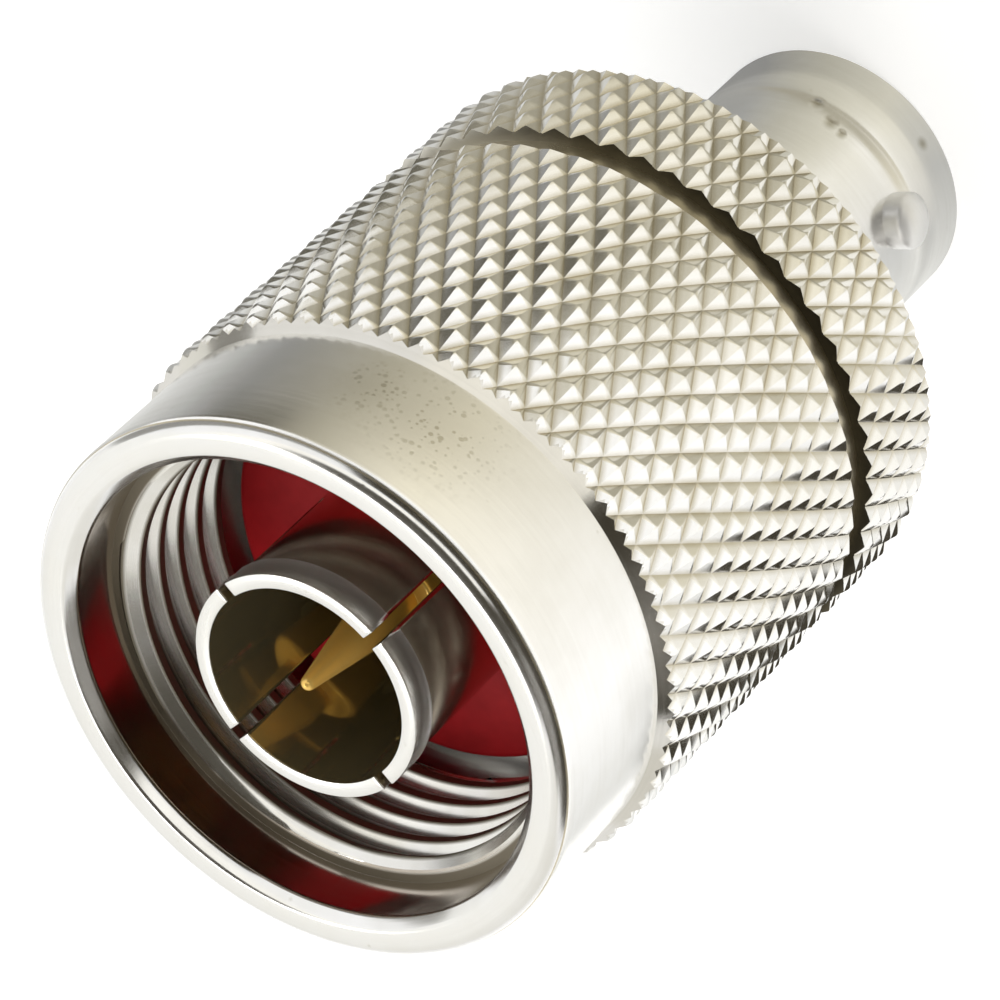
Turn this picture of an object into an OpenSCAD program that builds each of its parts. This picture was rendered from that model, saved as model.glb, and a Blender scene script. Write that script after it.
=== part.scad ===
// Coaxial adapter: N plug with a knurled coupling nut at the top, BNC socket at the bottom.
// It stands on the BNC mouth at z = 0, and its axis is +Z, towards the N opening.

/* [Overall] */
// Height from the BNC mouth to the front rim of the coupling nut
total_height = 34.1; // [32:0.1:37]

/* [Coupling nut] */
// Length of the coupling nut
nut_length = 22.6; // [20.5:0.1:23.5]
// Minor diameter of the 5/8-24 thread, from which the nut's other diameters follow
thread_minor_diameter = 14.8; // [14.6:0.05:15]
// Length of the smooth lip at the front
lip_length = 5.5; // [3:0.1:6.5]
// Share of the lip's wall that the round outer edge of the rim takes
rim_share = 0.26; // [0.1:0.02:0.5]
// Depth of the counterbore's wall behind the crests of the thread
counterbore_step = 0.8; // [0.55:0.01:0.9]
// Length of the counterbore
counterbore_depth = 2.2; // [1:0.1:2.8]
// Chamfer at the mouth of the counterbore
mouth_chamfer = 0.35; // [0.1:0.05:0.5]
// Wall of the lip around the counterbore
lip_wall = 1.45; // [1.2:0.05:1.8]
// Length of the thread
thread_length = 5.2; // [4:0.1:6]
// Chamfer that leads into the thread
thread_lead = 0.3; // [0.1:0.05:0.4]
// Radial room around the hub in the relief behind the thread
relief_step = 0.94; // [0.5:0.02:1.2]
// Height of the hub that stands in the relief
relief_overlap = 0.8; // [0.4:0.1:1.5]

/* [Knurl] */
// Height of the points above the smooth lip
knurl_step = 0.52; // [0.4:0.01:0.6]
// Height of the points above the valleys
knurl_height = 0.28; // [0.2:0.02:0.4]
// Points around the nut
knurl_teeth = 58; // [40:1:72]
// Length of one diamond along the axis
knurl_pitch = 1.85; // [1.4:0.01:2.4]
// Length of the slope that cuts the points next to the lip
knurl_chamfer = 0.42; // [0.2:0.02:0.6]
// Length of the slope that cuts the points at the rear edge
rear_chamfer = 0.2; // [0.15:0.01:0.5]
// Width of the turned groove between the two knurled bands
groove_width = 0.95; // [0.5:0.05:1.5]
// Depth of that groove below the points
groove_depth = 0.58; // [0.45:0.01:0.8]
// Length from the nut's rear face to the groove
rear_band_length = 4.35; // [3:0.05:5]
// Depth of the smooth land at the nut's rear edge below the points
rear_land_step = 0.38; // [0.36:0.01:0.6]
// Length of that land
rear_land_length = 0.1; // [0.05:0.05:0.4]

/* [Body] */
// Step from the crests of the thread in to the hub that the nut turns on
hub_step = 0.4; // [0.2:0.05:0.8]
// Distance that the hub lies inside the nut's rear face
hub_recess = 0.7; // [0.1:0.1:1]
// Radius of the fillet between the neck and the hub
neck_fillet = 0.8; // [0.3:0.1:1.2]
// Chamfer on turned edges
edge_chamfer = 0.2; // [0.1:0.05:0.3]

/* [BNC end] */
// Diameter of the collar at the mouth
collar_diameter = 9.72; // [9.5:0.02:9.9]
// Length of the collar
collar_length = 2.5; // [2:0.1:3]
// Depth of the neck behind the collar
neck_step = 0.31; // [0.2:0.01:0.4]
// Radius of the hollow fillet between the neck and the collar
collar_fillet = 1; // [0.6:0.1:1.6]
// Wall between the neck and the socket's bore
bnc_wall = 0.5; // [0.35:0.01:0.6]
// Depth of the socket's bore
bnc_depth = 8.4; // [7.5:0.1:9]
// Height of the two bayonet lugs above the collar
lug_height = 0.64; // [0.4:0.02:0.8]
// Diameter of a lug
lug_diameter = 1.95; // [1.7:0.05:2.1]
// Distance from the collar to the middle of the lugs
lug_offset = 0.9; // [0.8:0.05:1.5]

/* [N contact sleeve] */
// Diameter of the land at the sleeve's tip
sleeve_diameter = 8.03; // [7.9:0.01:8.13]
// Length of that land
sleeve_land_length = 0.95; // [0.5:0.05:1.5]
// Depth of the shank below the land
sleeve_relief = 0.16; // [0.16:0.01:0.25]
// Chamfer on the sleeve's rim
sleeve_edge = 0.06; // [0.04:0.01:0.1]
// Wall of the sleeve at that land
sleeve_wall = 0.515; // [0.4:0.005:0.6]
// Distance from the nut's rim down to the sleeve's rim
sleeve_recess = 0.65; // [0.1:0.05:1]
// Number of slots
sleeve_slots = 4; // [2:1:6]
// Width of a slot
sleeve_slot_width = 0.4; // [0.2:0.05:0.6]
// Length of a slot
sleeve_slot_length = 5.5; // [4:0.1:6.5]
// Angle of the first slot from the lugs
sleeve_slot_angle = 29; // [0:1:90]

/* [Contacts] */
// Diameter of the N pin
pin_diameter = 1.65; // [1.6:0.01:1.7]
// Diameter of the N pin's flat tip
pin_tip_diameter = 0.5; // [0.3:0.05:0.8]
// Length of the taper at the tip
pin_taper = 3.8; // [0.8:0.1:4]
// Length of the pin above its shoulder
pin_length = 5.2; // [4.6:0.1:5.6]
// Diameter of the conductor below the shoulder
conductor_diameter = 3.04; // [2.9:0.02:3.2]
// Diameter of the conductor's neck inside the upper bead
conductor_neck_diameter = 2.2; // [2:0.05:2.4]
// Diameter of the spigot that joins the two contacts
spigot_diameter = 1.1; // [0.9:0.05:1.2]
// Length of the spigot
spigot_length = 1.6; // [1:0.1:2]
// Outer diameter of the BNC socket contact
socket_diameter = 2.2; // [2:0.05:2.3]
// Bore of the BNC socket contact
socket_bore_diameter = 1.38; // [1.36:0.01:1.45]
// Depth of that bore
socket_bore_depth = 5; // [4.5:0.1:6]
// Number of tines
socket_tines = 4; // [2:1:4]
// Width of the slots between the tines
socket_slot_width = 0.2; // [0.15:0.01:0.24]
// Length of those slots
socket_slot_length = 3.6; // [3:0.1:4.5]
// Distance that the socket lies inside the insulator's face
socket_recess = 0.15; // [0.05:0.05:0.5]

/* [Insulators] */
// Diameter of the BNC insulator's nose
nose_diameter = 4.72; // [4.6:0.02:4.9]
// Distance from the BNC mouth to the nose
nose_recess = 3.2; // [2.6:0.1:4]
// Diameter of the BNC insulator's flange
flange_diameter = 6.4; // [5.8:0.1:6.8]
// Thickness of that flange
flange_thickness = 3; // [2.6:0.1:3.6]
// Thickness of the floor under the socket contact's collar
flange_floor = 0.6; // [0.4:0.1:0.8]
// Thickness of the body's web between the two bores
web_thickness = 3.6; // [3:0.1:4.5]
// Thickness of the upper bead
bead_thickness = 3; // [2:0.1:3.6]

/* [Gasket and snap ring] */
// Distance from the sleeve's rim to the gasket
gasket_depth = 7.1; // [6.6:0.1:7.6]
// Thickness of the gasket
gasket_thickness = 1.6; // [1:0.1:2]
// Distance that the gasket reaches past the hub
gasket_reach = 0.15; // [0.05:0.01:0.2]
// Radius of the gasket's edges
gasket_edge = 0.2; // [0.1:0.05:0.4]
// Distance from the nut's rear face to the snap ring
ring_offset = 5.6; // [4.6:0.1:6]
// Thickness of the snap ring
ring_thickness = 1; // [0.8:0.05:1.2]
// Radial width of the snap ring
ring_width = 1.1; // [0.9:0.05:1.2]
// Part of that width that lies inside the nut's groove
ring_bite = 0.55; // [0.4:0.05:0.6]
// Opening between the ends of the snap ring
ring_gap = 3; // [1:0.1:5]

/* [Fits] */
// Radial clearance between the nut and the hub
running_clearance = 0.06; // [0.02:0.01:0.1]
// Radial clearance of pieces pressed into one another
seat_clearance = 0.02; // [0.01:0.005:0.04]
// Clearance around the snap ring
loose_clearance = 0.1; // [0.05:0.01:0.2]

/* [Hidden] */
$fn = 96;

// Radii
thread_minor_r = thread_minor_diameter / 2;
counterbore_r = thread_minor_r + counterbore_step;
lip_r = counterbore_r + lip_wall;
rim_radius = rim_share * lip_wall;
point_r = lip_r + knurl_step;
valley_r = point_r - knurl_height;
groove_r = point_r - groove_depth;
rear_land_r = point_r - rear_land_step;
hub_r = thread_minor_r - hub_step;
nut_bore_r = hub_r + running_clearance;
relief_r = nut_bore_r + relief_step;
collar_r = collar_diameter / 2;
neck_r = collar_r - neck_step;
bnc_bore_r = neck_r - bnc_wall;
lug_end_r = collar_r + lug_height;
lug_r = lug_diameter / 2;
tip_r = sleeve_diameter / 2;
shank_r = tip_r - sleeve_relief;
sleeve_bore_r = tip_r - sleeve_wall;
pin_r = pin_diameter / 2;
pin_tip_r = pin_tip_diameter / 2;
conductor_r = conductor_diameter / 2;
conductor_neck_r = conductor_neck_diameter / 2;
spigot_r = spigot_diameter / 2;
socket_r = socket_diameter / 2;
socket_bore_r = socket_bore_diameter / 2;
nose_r = nose_diameter / 2;
flange_r = flange_diameter / 2;
gasket_r = hub_r + gasket_reach;
ring_outer_r = nut_bore_r + ring_bite;
ring_inner_r = ring_outer_r - ring_width;
press_bore_r = shank_r + seat_clearance;

// Heights, from the BNC mouth up
nut_rear_z = total_height - nut_length;
lip_z = total_height - lip_length;
groove_low_z = nut_rear_z + rear_band_length;
groove_high_z = groove_low_z + groove_width;
thread_top_z = total_height - counterbore_depth;
thread_low_z = thread_top_z - thread_length;
sleeve_top_z = total_height - sleeve_recess;
gasket_top_z = sleeve_top_z - gasket_depth;
hub_top_z = gasket_top_z - gasket_thickness;
hub_low_z = nut_rear_z + hub_recess;
relief_low_z = hub_top_z - relief_overlap;
flange_low_z = bnc_depth + web_thickness;
flange_top_z = flange_low_z + flange_thickness;
bead_top_z = flange_top_z + bead_thickness;
shoulder_z = sleeve_top_z - pin_length;
socket_low_z = nose_recess + socket_recess;
socket_collar_z = flange_low_z + flange_floor;
ring_low_z = nut_rear_z + ring_offset;
ring_top_z = ring_low_z + ring_thickness;
lug_z = collar_length + lug_offset;

// The knurled rings reach this far into the core and its neighbours
knurl_embed = 0.3;
// Extra length of a cutting tool past the surface that it cuts
cut_past = 1;
// Steps in a turned arc
arc_steps = 8;

// Points of an arc in the turning plane, as radius and height
function arc(r, z, radius, from, to) =
    [for (i = [0:arc_steps]) let (a = from + (to - from) * i / arc_steps) [r + radius * cos(a), z + radius * sin(a)]];

// A rectangular turned groove seen from the piece's own surface
function turned_groove(surface_r, floor_r, low, high) =
    [[surface_r, low], [floor_r, low], [floor_r, high], [surface_r, high]];

module turned(outline) {
    rotate_extrude() polygon(outline);
}

// One knurled band: points and valleys alternate around and along the nut.
// A sloping end runs down to end_r, and an end with no slope is cut square.
module knurl_band(low, high, low_slope, high_slope, end_r) {
    columns = 2 * knurl_teeth;
    inner_r = groove_r - knurl_embed;
    full_low = low + low_slope;
    full_high = high - high_slope;
    rows = max(1, round((full_high - full_low) / (knurl_pitch / 2)));
    step = (full_high - full_low) / rows;
    full_rows = [for (i = [0:rows]) [full_low + i * step, [for (c = [0:columns - 1]) (i + c) % 2 == 0 ? point_r : valley_r]]];
    plain_row = [for (c = [0:columns - 1]) end_r];
    levels = concat(
        low_slope > 0 ? [[low, plain_row]] : [],
        full_rows,
        high_slope > 0 ? [[high, plain_row]] : []);
    last = len(levels) - 1;
    wall = [for (level = levels) for (c = [0:columns - 1])
        let (a = 360 * c / columns) [level[1][c] * cos(a), level[1][c] * sin(a), level[0]]];
    core = [for (z = [low, high]) for (c = [0:columns - 1])
        let (a = 360 * c / columns) [inner_r * cos(a), inner_r * sin(a), z]];
    core_low = len(wall);
    core_high = core_low + columns;
    // Each cell is split along its valley, so that every diamond is a pyramid
    function split(c, i) = (i + c - (low_slope > 0 ? 1 : 0)) % 2 == 0;
    function cell(a, b, d, e, rising) = rising ? [[a, b, e], [b, d, e]] : [[a, b, d], [a, d, e]];
    sides = [for (i = [0:last - 1]) for (c = [0:columns - 1])
        let (n = (c + 1) % columns)
        each cell(i * columns + c, (i + 1) * columns + c, (i + 1) * columns + n, i * columns + n, split(c, i))];
    inner = [for (c = [0:columns - 1]) let (n = (c + 1) % columns)
        each [[core_low + c, core_low + n, core_high + n], [core_low + c, core_high + n, core_high + c]]];
    floor_faces = [for (c = [0:columns - 1]) let (n = (c + 1) % columns)
        each [[c, n, core_low + n], [c, core_low + n, core_low + c]]];
    roof_faces = [for (c = [0:columns - 1]) let (n = (c + 1) % columns, top = last * columns)
        each [[top + c, core_high + n, top + n], [top + c, core_high + c, core_high + n]]];
    polyhedron(concat(wall, core), concat(sides, inner, floor_faces, roof_faces));
}

// The nut without its knurl
module nut_core() {
    turned(concat(
        [[nut_bore_r + edge_chamfer, nut_rear_z],
         [rear_land_r - edge_chamfer, nut_rear_z],
         [rear_land_r, nut_rear_z + edge_chamfer],
         [rear_land_r, nut_rear_z + rear_land_length + rear_chamfer],
         [groove_r, nut_rear_z + rear_land_length + rear_chamfer],
         [groove_r, lip_z - knurl_chamfer],
         [lip_r, lip_z - knurl_chamfer]],
        arc(lip_r - rim_radius, total_height - rim_radius, rim_radius, 0, 90),
        [[counterbore_r + mouth_chamfer, total_height],
         [counterbore_r, total_height - mouth_chamfer],
         [counterbore_r, thread_top_z],
         [thread_minor_r + thread_lead, thread_top_z],
         [thread_minor_r, thread_top_z - thread_lead],
         [thread_minor_r, thread_low_z],
         [relief_r, thread_low_z],
         [relief_r, relief_low_z],
         [nut_bore_r, relief_low_z]],
        turned_groove(nut_bore_r, ring_outer_r + loose_clearance,
            ring_top_z + loose_clearance, ring_low_z - loose_clearance),
        [[nut_bore_r, nut_rear_z + edge_chamfer]]));
}

module coupling_nut() {
    color([0.80, 0.78, 0.72])
    union() {
        nut_core();
        knurl_band(groove_high_z, lip_z, 0, knurl_chamfer, lip_r - knurl_embed);
        knurl_band(nut_rear_z + rear_land_length, groove_low_z, rear_chamfer, 0, rear_land_r - knurl_embed);
    }
}

module snap_ring() {
    color([0.62, 0.60, 0.56])
    difference() {
        turned([[ring_inner_r, ring_low_z], [ring_outer_r, ring_low_z],
                [ring_outer_r, ring_top_z], [ring_inner_r, ring_top_z]]);
        translate([0, -ring_gap / 2, ring_low_z - cut_past])
        cube([ring_outer_r + cut_past, ring_gap, ring_thickness + 2 * cut_past]);
    }
}

module face_gasket() {
    hole_r = shank_r + seat_clearance;
    color([0.60, 0.10, 0.12])
    turned(concat(
        [[hole_r, hub_top_z], [gasket_r, hub_top_z]],
        arc(gasket_r - gasket_edge, gasket_top_z - gasket_edge, gasket_edge, 0, 90),
        arc(hole_r + gasket_edge, gasket_top_z - gasket_edge, gasket_edge, 90, 180)));
}

// A bayonet lug is a round stud that stands on the neck
module lug() {
    root = (bnc_bore_r + neck_r) / 2;
    stud = lug_end_r - edge_chamfer - root;
    translate([root, 0, lug_z])
    rotate([0, 90, 0]) {
        cylinder(r = lug_r, h = stud);
        translate([0, 0, stud])
        cylinder(r1 = lug_r, r2 = lug_r - edge_chamfer, h = edge_chamfer);
    }
}

module body_turning() {
    fillet_angle = acos(1 - neck_step / collar_fillet);
    turned(concat(
        [[bnc_bore_r + edge_chamfer, 0],
         [collar_r - edge_chamfer, 0],
         [collar_r, edge_chamfer]],
        arc(neck_r + collar_fillet, collar_length + collar_fillet * sin(fillet_angle),
            collar_fillet, 180 + fillet_angle, 180),
        arc(neck_r + neck_fillet, hub_low_z - neck_fillet, neck_fillet, 180, 90),
        [[hub_r - edge_chamfer, hub_low_z],
         [hub_r, hub_low_z + edge_chamfer]],
        turned_groove(hub_r, ring_inner_r - loose_clearance,
            ring_low_z - loose_clearance, ring_top_z + loose_clearance),
        [[hub_r, hub_top_z],
         [press_bore_r, hub_top_z],
         [press_bore_r, flange_top_z],
         [flange_r + seat_clearance, flange_top_z],
         [flange_r + seat_clearance, flange_low_z],
         [nose_r + seat_clearance, flange_low_z],
         [nose_r + seat_clearance, bnc_depth],
         [bnc_bore_r, bnc_depth],
         [bnc_bore_r, edge_chamfer]]));
}

module adapter_body() {
    color([0.80, 0.78, 0.72])
    union() {
        body_turning();
        for (side = [0, 180]) rotate(side) lug();
    }
}

module contact_sleeve() {
    color([0.78, 0.77, 0.70])
    difference() {
        turned([[sleeve_bore_r, bead_top_z],
                [shank_r, bead_top_z],
                [shank_r, sleeve_top_z - sleeve_land_length - sleeve_relief],
                [tip_r, sleeve_top_z - sleeve_land_length],
                [tip_r, sleeve_top_z - sleeve_edge],
                [tip_r - sleeve_edge, sleeve_top_z],
                [sleeve_bore_r + sleeve_edge, sleeve_top_z],
                [sleeve_bore_r, sleeve_top_z - sleeve_edge]]);
        for (i = [0:sleeve_slots - 1])
            rotate(sleeve_slot_angle + 360 * i / sleeve_slots)
            translate([0, -sleeve_slot_width / 2, sleeve_top_z - sleeve_slot_length])
            cube([tip_r + cut_past, sleeve_slot_width, sleeve_slot_length + cut_past]);
    }
}

module centre_pin() {
    color([0.80, 0.58, 0.22])
    turned(concat(
        [[0, flange_top_z - spigot_length],
         [spigot_r, flange_top_z - spigot_length],
         [spigot_r, flange_top_z],
         [conductor_neck_r, flange_top_z],
         [conductor_neck_r, bead_top_z],
         [conductor_r, bead_top_z],
         [conductor_r, shoulder_z - edge_chamfer],
         [conductor_r - edge_chamfer, shoulder_z],
         [pin_r, shoulder_z],
         [pin_r, sleeve_top_z - pin_taper]],
        arc(0, sleeve_top_z - pin_tip_r, pin_tip_r, 0, 90)));
}

module socket_contact() {
    hole_r = spigot_r + seat_clearance;
    collar_r = conductor_r;
    color([0.80, 0.58, 0.22])
    difference() {
        turned([[socket_bore_r + socket_slot_width / 2, socket_low_z],
                [socket_r - socket_slot_width / 2, socket_low_z],
                [socket_r, socket_low_z + socket_slot_width / 2],
                [socket_r, socket_collar_z],
                [collar_r, socket_collar_z],
                [collar_r, flange_top_z],
                [hole_r, flange_top_z],
                [hole_r, flange_top_z - spigot_length],
                [0, flange_top_z - spigot_length],
                [0, socket_low_z + socket_bore_depth],
                [socket_bore_r, socket_low_z + socket_bore_depth],
                [socket_bore_r, socket_low_z + socket_slot_width / 2]]);
        for (i = [0:socket_tines - 1])
            rotate(360 * i / socket_tines)
            translate([0, -socket_slot_width / 2, socket_low_z - cut_past])
            cube([socket_r + cut_past, socket_slot_width, socket_slot_length + cut_past]);
    }
}

module upper_bead() {
    color([0.93, 0.92, 0.88])
    turned([[conductor_neck_r + seat_clearance, flange_top_z],
            [shank_r, flange_top_z],
            [shank_r, bead_top_z],
            [conductor_neck_r + seat_clearance, bead_top_z]]);
}

module nose_insulator() {
    color([0.93, 0.92, 0.88])
    turned([[socket_r + seat_clearance, nose_recess],
            [nose_r - edge_chamfer, nose_recess],
            [nose_r, nose_recess + edge_chamfer],
            [nose_r, flange_low_z],
            [flange_r, flange_low_z],
            [flange_r, flange_top_z],
            [conductor_r + seat_clearance, flange_top_z],
            [conductor_r + seat_clearance, socket_collar_z],
            [socket_r + seat_clearance, socket_collar_z]]);
}

coupling_nut();
snap_ring();
face_gasket();
adapter_body();
contact_sleeve();
centre_pin();
socket_contact();
upper_bead();
nose_insulator();
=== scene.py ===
import math

import bmesh
import bpy
from mathutils import Matrix, Vector


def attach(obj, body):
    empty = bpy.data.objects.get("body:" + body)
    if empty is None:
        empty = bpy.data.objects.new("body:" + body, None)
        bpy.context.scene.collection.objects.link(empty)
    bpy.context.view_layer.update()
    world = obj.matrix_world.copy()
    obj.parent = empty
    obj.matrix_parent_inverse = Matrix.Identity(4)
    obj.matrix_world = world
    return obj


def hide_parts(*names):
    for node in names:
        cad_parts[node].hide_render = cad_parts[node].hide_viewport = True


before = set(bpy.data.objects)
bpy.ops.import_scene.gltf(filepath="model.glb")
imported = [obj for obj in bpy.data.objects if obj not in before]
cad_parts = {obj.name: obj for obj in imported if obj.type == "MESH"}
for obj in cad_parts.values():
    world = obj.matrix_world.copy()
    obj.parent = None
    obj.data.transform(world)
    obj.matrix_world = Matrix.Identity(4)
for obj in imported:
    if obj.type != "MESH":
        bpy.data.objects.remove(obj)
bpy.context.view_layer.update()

# Sizes of the adapter in millimetres, from the BNC mouth up, and counts of what repeats
MM = 0.001
TOTAL_HEIGHT = 34.1
NUT_REAR = 11.5
LIP_LOW = 28.6
LIP_R = 9.65
RIM_RADIUS = 0.55
POINT_R = 10.17
VALLEY_R = 9.89
GROOVE_R = 9.59
GROOVE_LOW = 15.85
GROOVE_HIGH = 16.8
REAR_LAND_R = 9.79
REAR_LAND_LENGTH = 0.1
REAR_CHAMFER = 0.2
KNURL_CHAMFER = 0.42
KNURL_TEETH = 58
KNURL_PITCH = 1.85
KNURL_PHASE = 0.014
KNURL_FIRST = 10.38
KNURL_ROWS = 22
KNURL_INNER_R = 9.3
KNURL_TIP_LEVEL = 0.92
KNURL_TIP_SOFTNESS = 0.16
DIAMOND_CURVE = 1.4
BLANK_TAIL = 1.5
BLANK_HEAD = 1.0
COUNTERBORE_R = 8.2
MOUTH_CHAMFER = 0.35
THREAD_MINOR_R = 7.4
THREAD_MAJOR_R = 7.94
THREAD_PITCH = 25.4 / 24
THREAD_LOW = 26.7
THREAD_HIGH = 31.9
THREAD_LEAD = 0.3
THREAD_ROOT_WALL = 8.02
THREAD_BACK_R = 8.22
RELIEF_R = 8.0
RELIEF_LOW = 23.95
NUT_BORE_R = 7.06
RING_GROOVE_R = 7.71
RING_GROOVE_LOW = 17.0
RING_GROOVE_HIGH = 18.2
HUB_R = 7.0
HUB_LOW = 12.2
HUB_TOP = 24.75
HUB_GROOVE_R = 6.41
GASKET_R = 7.15
GASKET_TOP = 26.35
SHANK_R = 3.855
TIP_R = 4.015
SLEEVE_BORE_R = 3.5
SLEEVE_TOP = 33.45
SLEEVE_LAND = 0.95
SLEEVE_RELIEF = 0.16
SLEEVE_SLOT_WIDTH = 0.4
SLEEVE_SLOT_LENGTH = 5.5
SLEEVE_SLOT_ANGLE = 29.0
SLEEVE_EDGE = 0.045
BEAD_TOP = 18.0
FLANGE_TOP = 15.0
FLANGE_LOW = 12.0
FLANGE_R = 3.2
PIN_R = 0.825
PIN_TIP_R = 0.25
PIN_TAPER = 3.8
PIN_SHOULDER = 28.25
CONDUCTOR_R = 1.52
CONDUCTOR_NECK_R = 1.1
SPIGOT_R = 0.55
SPIGOT_LOW = 13.4
SOCKET_LOW = 3.35
SOCKET_R = 1.1
SOCKET_BORE_R = 0.69
SOCKET_BORE_END = 8.35
SOCKET_COLLAR = 12.6
SOCKET_SLOT_WIDTH = 0.2
SOCKET_SLOT_LENGTH = 3.6
SOCKET_EDGE = 0.05
NOSE_R = 2.36
NOSE_LOW = 3.2
COLLAR_R = 4.86
COLLAR_LENGTH = 2.5
COLLAR_FILLET = 3.0
COLLAR_TAPER = 0.03
COLLAR_TAPER_LENGTH = 0.25
NECK_R = 4.55
NECK_FILLET = 0.8
BNC_BORE_R = 4.05
BNC_DEPTH = 8.4
LUG_R = 0.975
LUG_END = 5.5
LUG_DOME = 1.4
LUG_HEIGHT = 3.4
SEAT = 0.02
SLOTS = 4
LUGS = 2

# Overlaps that hide the seams between the nut's pieces, in millimetres
LAND_OVERLAP = 0.06
LIP_OVERLAP = 0.05
THREAD_OVERLAP = 0.01
CUT_OVERLAP = 0.1

# Facets around a piece, and the angles from which an edge is shaded sharp or broken
FINE_TURN = 256
SMALL_TURN = 128
LUG_TURN = 64
SLEEVE_COLUMNS = 40
SOCKET_COLUMNS = 14
THREAD_TURN = 160
THREAD_ROWS = 16
LEAD_ROWS = 3
SHARP_ANGLE = math.radians(42)
THREAD_SHARP = math.radians(28)
KNURL_SHARP = math.radians(44)
BROKEN_ANGLE = math.radians(50)
STEEP_NORMAL = 0.55
STEEP_CREASE = 0.3

# Distances in metres within which points are one, and the share of a side that an eased corner may take
SAME_POINT = 1e-8
WELD = 2e-7
SEAM = 5e-7
KNURL_SEAM = 1e-6
SAME_LEVEL = 1e-6
EASE_LIMIT = 0.45


def eased(corners, steps=4):
    """Closed outline of corners (radius, height, ease). One without an ease stays sharp."""
    points = []
    count = len(corners)
    for i, (r, z, *ease) in enumerate(corners):
        here = Vector((r, z))
        if not ease:
            points.append((r, z))
            continue
        before = Vector(corners[i - 1][:2]) - here
        after = Vector(corners[(i + 1) % count][:2]) - here
        reach = min(ease[0], before.length * EASE_LIMIT, after.length * EASE_LIMIT)
        start = here + before.normalized() * reach
        end = here + after.normalized() * reach
        for k in range(steps + 1):
            t = k / steps
            p = start * (1 - t) ** 2 + here * 2 * t * (1 - t) + end * t ** 2
            points.append((p.x, p.y))
    return points


def hollow_arc(centre_r, centre_z, radius, start, end, steps=10):
    """Corners along an arc of the turning plane, with angles in degrees."""
    corners = []
    for k in range(steps + 1):
        a = math.radians(start + (end - start) * k / steps)
        corners.append((centre_r + radius * math.cos(a), centre_z + radius * math.sin(a)))
    return corners


def around(r, z, angle):
    """A point in metres at a radius, height and angle."""
    return Vector((r * math.cos(angle), r * math.sin(angle), z)) * MM


def turned_shape(outline, segments):
    """A closed ring or solid turned from an outline of (radius, height) points."""
    bm = bmesh.new()
    rings = []
    for j in range(segments):
        angle = 2 * math.pi * j / segments
        rings.append([bm.verts.new(around(r, z, angle)) for r, z in outline])
    count = len(outline)
    for j in range(segments):
        here, there = rings[j], rings[(j + 1) % segments]
        for k in range(count):
            n = (k + 1) % count
            if outline[k][0] == 0 and outline[n][0] == 0:
                continue
            bm.faces.new((here[k], there[k], there[n], here[n]))
    bmesh.ops.remove_doubles(bm, verts=bm.verts, dist=SAME_POINT)
    bmesh.ops.recalc_face_normals(bm, faces=bm.faces)
    return bm


def slotted_sector(outline, slot_floor, slot_width, count, columns):
    """One sector of a slotted sleeve, with half a slot on either side of it.
    The outline starts at the outer foot, and its points at slot_floor stay whole."""
    bm = bmesh.new()
    half = math.pi / count
    upper = [k for k, (r, z) in enumerate(outline) if z >= slot_floor - SAME_LEVEL]
    lower = [k for k, (r, z) in enumerate(outline) if z <= slot_floor + SAME_LEVEL]

    def column_angles(r):
        slot = math.asin(min(1, slot_width / 2 / r)) if r > 0 else 0
        inner = [-half + slot + (2 * half - 2 * slot) * c / columns for c in range(columns + 1)]
        return [-half] + inner + [half]

    total = columns + 3
    verts = {}
    for k, (r, z) in enumerate(outline):
        angles = column_angles(r)
        for c in range(total):
            if k in upper and k not in lower and c in (0, total - 1):
                continue
            verts[k, c] = bm.verts.new(around(r, z, angles[c]))
    points = len(outline)
    for k in range(points):
        n = (k + 1) % points
        if outline[k][0] == 0 and outline[n][0] == 0:
            continue
        whole = k in lower and n in lower
        for c in range(total - 1):
            if not whole and c in (0, total - 2):
                continue
            bm.faces.new((verts[k, c], verts[k, c + 1], verts[n, c + 1], verts[n, c]))
    first, last = upper[0], upper[-1]
    bm.faces.new([verts[k, 1] for k in upper])
    bm.faces.new([verts[k, total - 2] for k in reversed(upper)])
    for c in (0, total - 2):
        bm.faces.new((verts[first, c], verts[first, c + 1], verts[last, c + 1], verts[last, c]))
    bmesh.ops.remove_doubles(bm, verts=bm.verts, dist=SAME_POINT)
    return bm


def add_object(name, data):
    """A new object at the origin of the scene."""
    made = bpy.data.objects.new(name, data)
    bpy.context.scene.collection.objects.link(made)
    return made


def to_mesh(name, bm):
    """A new mesh object, with the shape in its mesh."""
    mesh = bpy.data.meshes.new(name)
    bm.to_mesh(mesh)
    bm.free()
    return add_object(name, mesh)


def settle(piece):
    """Turns what the modifiers make into the piece's own plain mesh."""
    bpy.context.view_layer.update()
    graph = bpy.context.evaluated_depsgraph_get()
    made = bpy.data.meshes.new_from_object(piece.evaluated_get(graph))
    piece.modifiers.clear()
    old = piece.data
    piece.data = made
    bpy.data.meshes.remove(old)
    made.name = piece.name
    return piece


def right_side_out(piece):
    """Merges what lies together and points every face outwards."""
    bm = bmesh.new()
    bm.from_mesh(piece.data)
    bmesh.ops.remove_doubles(bm, verts=bm.verts, dist=WELD)
    bmesh.ops.dissolve_degenerate(bm, edges=bm.edges, dist=SAME_POINT)
    bmesh.ops.recalc_face_normals(bm, faces=bm.faces)
    bm.to_mesh(piece.data)
    bm.free()


def finish_piece(piece, material, body, node, sharp=SHARP_ANGLE):
    """Shades a piece, gives it its finish and sets it on its body in place of its CAD node."""
    mesh = piece.data
    mesh.materials.clear()
    mesh.materials.append(material)
    mesh.shade_smooth()
    mesh.set_sharp_from_angle(angle=sharp)
    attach(piece, body)
    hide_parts(node)
    return piece


def turned_piece(name, corners, segments, finish, body, node, steps=4):
    """A turned piece with eased corners, finished and set in place."""
    piece = to_mesh(name, turned_shape(eased(corners, steps), segments))
    return finish_piece(piece, finish, body, node)


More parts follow.
